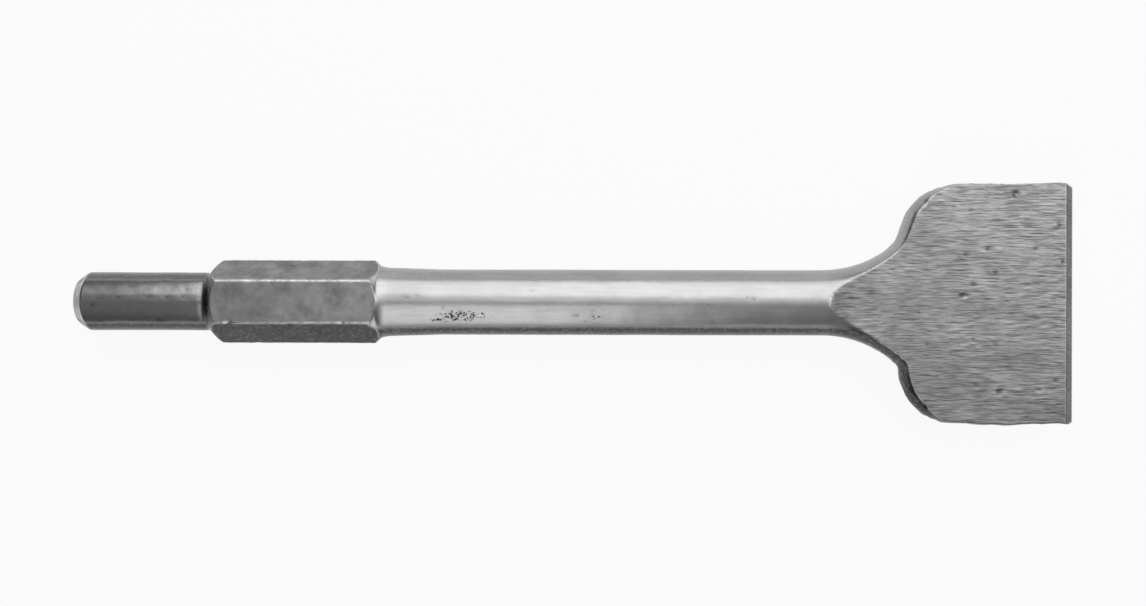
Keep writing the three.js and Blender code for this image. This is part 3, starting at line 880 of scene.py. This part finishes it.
matt_white, tree = empty_material("matt_white_laminate")
paint = add(tree, "BsdfDiffuse", {"Color": linear("#f6f6f6")})
own_white = add(tree, "Emission", {"Strength": 1.0})
ray = add(tree, "LightPath")
seen = add(tree, "Math", {0: ray.outputs["Is Camera Ray"], 1: ray.outputs["Is Glossy Ray"]},
           operation="MAXIMUM")
seen = add(tree, "Math", {0: seen, 1: ray.outputs["Is Transmission Ray"]}, operation="MAXIMUM")
share = add(tree, "Math", {0: seen, 1: OWN_WHITE_SHARE}, operation="MULTIPLY")
blend = add(tree, "MixShader", {0: share, 1: paint, 2: own_white})
add(tree, "OutputMaterial", {"Surface": blend})
floor_mesh.materials.append(matt_white)

# %% [markdown]
# Polished steel shows what is round it, so the light is mostly a matter of what the steel sees. A
# long soft box stands on the left of the blade and gives the stem its broad highlight. A narrow one
# stands on the right, over the tail end only. One overhead and one past the cutting edge light the
# ground faces. The room is dim at the walls and a little brighter overhead.

# %% Soft light
def soft_box(name, brightness, size, place, aim):
    """A soft box whose face has the given brightness, where 1 is white: the lamp's power is that
    times pi times its area. It faces the point it is aimed at."""
    lamp = bpy.data.lights.new(name, "AREA")
    lamp.shape = "RECTANGLE"
    lamp.size, lamp.size_y = size
    lamp.energy = brightness * math.pi * size[0] * size[1]
    box = bpy.data.objects.new(name, lamp)
    bpy.context.scene.collection.objects.link(box)
    box.location = place
    towards = Vector(aim) - Vector(place)
    box.rotation_euler = towards.to_track_quat("-Z", "Y").to_euler()
    return box


soft_box("long_soft_box", 1.3, (1.3, 1.15), (0.30, 0.80, 0.66), (0.20, 0, 0))
soft_box("narrow_soft_box", 1.08, (0.34, 1.25), (0.10, -0.62, 0.60), (0.10, 0, 0))
soft_box("top_soft_box", 0.64, (1.9, 0.5), (0.65, 0.28, 1.2), (0.65, 0.28, 0))
soft_box("end_soft_box", 1.0, (0.45, 0.9), (1.30, 0.12, 1.05), (0.33, 0, 0))

WALL_GREY, CEILING_GREY = 0.05, 0.20
world = bpy.data.worlds.new("dim_studio")
bpy.context.scene.world = world
world.use_nodes = True
world.node_tree.nodes.clear()
tree = world.node_tree
direction = add(tree, "TexCoord").outputs["Generated"]
height = add(tree, "SeparateXYZ", {0: direction}).outputs["Z"]
brightness = add(tree, "MapRange", {0: height, 1: 0.05, 2: 0.9, 3: WALL_GREY, 4: CEILING_GREY})
sky = add(tree, "Background", {"Strength": brightness, "Color": (1, 1, 1, 1)})
add(tree, "OutputWorld", {"Surface": sky})

# %% [markdown]
# The camera looks straight down on the tool from half a metre, through a moderately wide lens. It
# is turned by a seventh of a degree, because the tool didn't lie quite square to it.

# %% Camera and colour
CAMERA_HEIGHT = 0.493
CAMERA_TURN = math.radians(0.14)
lens = bpy.data.cameras.new("overhead_camera")
lens.lens, lens.sensor_width = 37.4, 36
camera = bpy.data.objects.new("overhead_camera", lens)
bpy.context.scene.collection.objects.link(camera)
camera.location = (0.2034, -0.0003, CAMERA_HEIGHT)
camera.rotation_euler = (0, 0, CAMERA_TURN)
bpy.context.scene.camera = camera
bpy.context.scene.view_settings.view_transform = "Standard"
